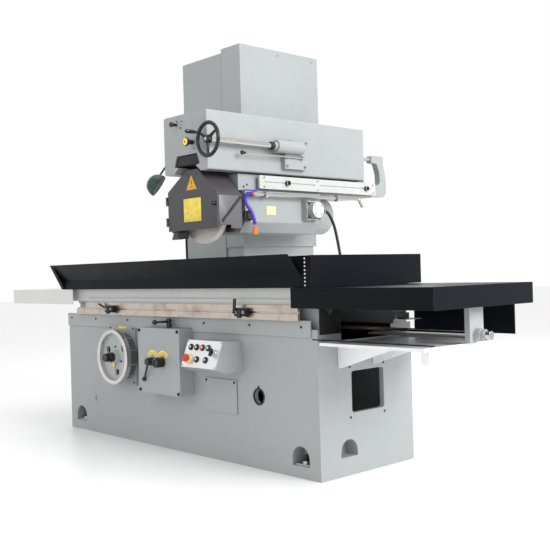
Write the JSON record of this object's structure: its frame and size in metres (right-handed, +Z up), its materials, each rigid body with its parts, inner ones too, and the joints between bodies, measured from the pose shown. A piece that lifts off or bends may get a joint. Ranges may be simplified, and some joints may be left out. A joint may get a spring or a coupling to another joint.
{
  "type": "surface grinder",
  "caption": "Column-type surface grinder: long hydraulic table with T-slots on a box bed, column with telescopic covers, lifting carriage and cross-sliding wheelhead.",
  "frame": {"origin": "centre of the bed casting's underside, on the floor", "axes": "+X along the table's travel to the right, +Y from the operator back to the column, +Z up"},
  "size_m": [3.571, 1.8941, 2.38],
  "materials": {
    "grey_paint": "satin light grey-green machine enamel",
    "tray_paint": "satin pale grey paint",
    "navy_paint": "satin very dark blue paint",
    "dark_paint": "satin dark grey paint",
    "green_paint": "gloss dark green enamel",
    "bright_steel": "machined steel",
    "black_oxide": "black oxide",
    "black_plastic": "moulded black phenolic plastic",
    "red_plastic": "moulded red plastic",
    "green_plastic": "moulded green plastic",
    "silver_plate": "satin anodised plate",
    "cable_rubber": "matt black rubber sheath",
    "blue_hose": "moulded blue and orange plastic",
    "abrasive": "coarse pinkish white vitrified grit"
  },
  "bodies": {
    "base": {"bed_casting": "grey_paint", "bed_covers": "grey_paint", "cover_screws": "black_oxide", "levelling_wedges": "bright_steel", "operation_box": "grey_paint", "control_box": "grey_paint", "panel_plate": "silver_plate", "drip_tray": "tray_paint", "hydraulic_cylinder": "bright_steel", "column_base": "grey_paint", "column_casting": "grey_paint", "way_cover_fixed": "grey_paint", "column_conduit": "cable_rubber"},
    "table": {"table_casting": "grey_paint", "dog_rail": "bright_steel", "splash_guard": "navy_paint", "right_end_cover": "navy_paint", "left_end_cover": "grey_paint", "rod_brackets": "grey_paint", "piston_rod": "bright_steel"},
    "left_dog": {"trip_dog_left": "black_oxide"},
    "right_dog": {"trip_dog_right": "black_oxide"},
    "elevating_wheel": {"elevating_handwheel": "bright_steel", "elevating_shaft": "bright_steel"},
    "clutch": {"clutch_knob": "black_plastic"},
    "lead_screw": {"elevating_screw": "bright_steel"},
    "speed_control": {"speed_lever": "black_plastic"},
    "feed_control": {"feed_knob": "black_plastic"},
    "reversing_control": {"reversing_lever": "black_plastic"},
    "push_1": {"button_1": "black_plastic"},
    "push_2": {"button_2": "black_plastic"},
    "push_3": {"button_3": "red_plastic"},
    "push_4": {"button_4": "green_plastic"},
    "push_5": {"button_5": "black_plastic"},
    "push_6": {"button_6": "black_plastic"},
    "stop_button": {"emergency_stop": "red_plastic"},
    "selector": {"selector_switch": "black_plastic"},
    "carriage": {"carriage_casting": "grey_paint", "carriage_saddle": "grey_paint", "way_covers_moving": "grey_paint", "cross_feed_housing": "grey_paint", "cross_cylinder": "bright_steel"},
    "cross_wheel": {"cross_handwheel": "black_oxide"},
    "engagement": {"engagement_lever": "bright_steel"},
    "cycle_control": {"cycle_knob": "black_plastic"},
    "throttle": {"throttle_knob": "black_plastic"},
    "lamp": {"work_lamp": "green_paint"},
    "wheelhead": {"wheelhead_slide": "grey_paint", "spindle_housing": "grey_paint", "wheel_guard": "dark_paint", "terminal_box": "grey_paint", "motor_cable": "cable_rubber", "cross_dog_rail": "grey_paint", "coolant_pipe": "bright_steel", "coolant_hose": "blue_hose", "cylinder_arm": "grey_paint"},
    "door": {"guard_door": "dark_paint"},
    "latch": {"door_latch": "black_oxide"},
    "spindle_body": {"spindle": "bright_steel", "grinding_wheel": "abrasive"}
  },
  "joints": [
    {"name": "table_traverse", "type": "slide", "parent": "base", "child": "table", "axis": [1, 0, 0], "range_m": [-0.55, 0.5]},
    {"name": "left_dog_slide", "type": "slide", "parent": "table", "child": "left_dog", "axis": [1, 0, 0], "range_m": [-0.3, 0.25]},
    {"name": "right_dog_slide", "type": "slide", "parent": "table", "child": "right_dog", "axis": [1, 0, 0], "range_m": [-0.25, 0.3]},
    {"name": "elevating_wheel_spin", "type": "hinge", "parent": "base", "child": "elevating_wheel", "pos_m": [-0.457, -0.4, 0.486], "axis": [0, -1, 0], "continuous": true},
    {"name": "clutch_pull", "type": "slide", "parent": "elevating_wheel", "child": "clutch", "axis": [0, -1, 0], "range_m": [0, 0.012]},
    {"name": "carriage_lift", "type": "slide", "parent": "base", "child": "carriage", "axis": [0, 0, 1], "range_m": [-0.24, 0.15]},
    {"name": "screw_turn", "type": "hinge", "parent": "base", "child": "lead_screw", "pos_m": [-0.345, 0.757, 0.5], "axis": [0, 0, 1], "range_deg": [-7210, 4510]},
    {"name": "wheelhead_cross", "type": "slide", "parent": "carriage", "child": "wheelhead", "axis": [0, 1, 0], "range_m": [-0.125, 0.3], "deforming": ["motor_cable"]},
    {"name": "cross_wheel_spin", "type": "hinge", "parent": "carriage", "child": "cross_wheel", "pos_m": [0.197, -0.201, 1.668], "axis": [0, -1, 0], "range_deg": [-760, 1810]},
    {"name": "engagement_lever_swing", "type": "hinge", "parent": "carriage", "child": "engagement", "pos_m": [0.2, 0.5, 1.613], "axis": [1, 0, 0], "range_deg": [0, 15]},
    {"name": "cycle_knob_turn", "type": "hinge", "parent": "carriage", "child": "cycle_control", "pos_m": [0.03, -0.171, 1.673], "axis": [0, -1, 0], "range_deg": [-90, 90]},
    {"name": "throttle_knob_turn", "type": "hinge", "parent": "carriage", "child": "throttle", "pos_m": [-0.123, -0.171, 1.79], "axis": [0, -1, 0], "range_deg": [-150, 150]},
    {"name": "lamp_tilt", "type": "hinge", "parent": "carriage", "child": "lamp", "pos_m": [-0.25, -0.09, 1.652], "axis": [1, 0, 0], "range_deg": [-25, 30]},
    {"name": "guard_door_swing", "type": "hinge", "parent": "wheelhead", "child": "door", "pos_m": [-0.276, -0.142, 1.3], "axis": [0, 0, -1], "range_deg": [0, 95]},
    {"name": "latch_turn", "type": "hinge", "parent": "door", "child": "latch", "pos_m": [0.166, -0.14, 1.33], "axis": [0, -1, 0], "range_deg": [0, 90]},
    {"name": "spindle_spin", "type": "hinge", "parent": "wheelhead", "child": "spindle_body", "pos_m": [-0.046, 0.1, 1.314], "axis": [0, 1, 0], "continuous": true},
    {"name": "speed_lever_swing", "type": "hinge", "parent": "base", "child": "speed_control", "pos_m": [-0.048, -0.423, 0.486], "axis": [0, -1, 0], "range_deg": [-45, 45]},
    {"name": "feed_knob_turn", "type": "hinge", "parent": "base", "child": "feed_control", "pos_m": [0.038, -0.423, 0.486], "axis": [0, -1, 0], "range_deg": [-135, 135]},
    {"name": "reversing_lever_swing", "type": "hinge", "parent": "base", "child": "reversing_control", "pos_m": [0.02, -0.362, 0.7], "axis": [0, 0, 1], "range_deg": [-25, 25]},
    {"name": "selector_turn", "type": "hinge", "parent": "base", "child": "selector", "pos_m": [0.542, -0.47234, 0.56117], "axis": [0, 0.9328, -0.3604], "range_deg": [-60, 60]},
    {"name": "stop_press", "type": "slide", "parent": "base", "child": "stop_button", "axis": [0, 0.9328, -0.3604], "range_m": [0, 0.006], "stiffness_N_per_m": 600},
    {"name": "button_1_press", "type": "slide", "parent": "base", "child": "push_1", "axis": [0, 0.9328, -0.3604], "range_m": [0, 0.004], "stiffness_N_per_m": 400},
    {"name": "button_2_press", "type": "slide", "parent": "base", "child": "push_2", "axis": [0, 0.9328, -0.3604], "range_m": [0, 0.004], "stiffness_N_per_m": 400},
    {"name": "button_3_press", "type": "slide", "parent": "base", "child": "push_3", "axis": [0, 0.9328, -0.3604], "range_m": [0, 0.004], "stiffness_N_per_m": 400},
    {"name": "button_4_press", "type": "slide", "parent": "base", "child": "push_4", "axis": [0, 0.9328, -0.3604], "range_m": [0, 0.004], "stiffness_N_per_m": 400},
    {"name": "button_5_press", "type": "slide", "parent": "base", "child": "push_5", "axis": [0, 0.9328, -0.3604], "range_m": [0, 0.004], "stiffness_N_per_m": 400},
    {"name": "button_6_press", "type": "slide", "parent": "base", "child": "push_6", "axis": [0, 0.9328, -0.3604], "range_m": [0, 0.004], "stiffness_N_per_m": 400}
  ],
  "couplings": [
    {"joint": "screw_turn", "follows": "carriage_lift", "rad_per_m": 523.6},
    {"joint": "cross_wheel_spin", "follows": "wheelhead_cross", "rad_per_m": 104.72}
  ]
}
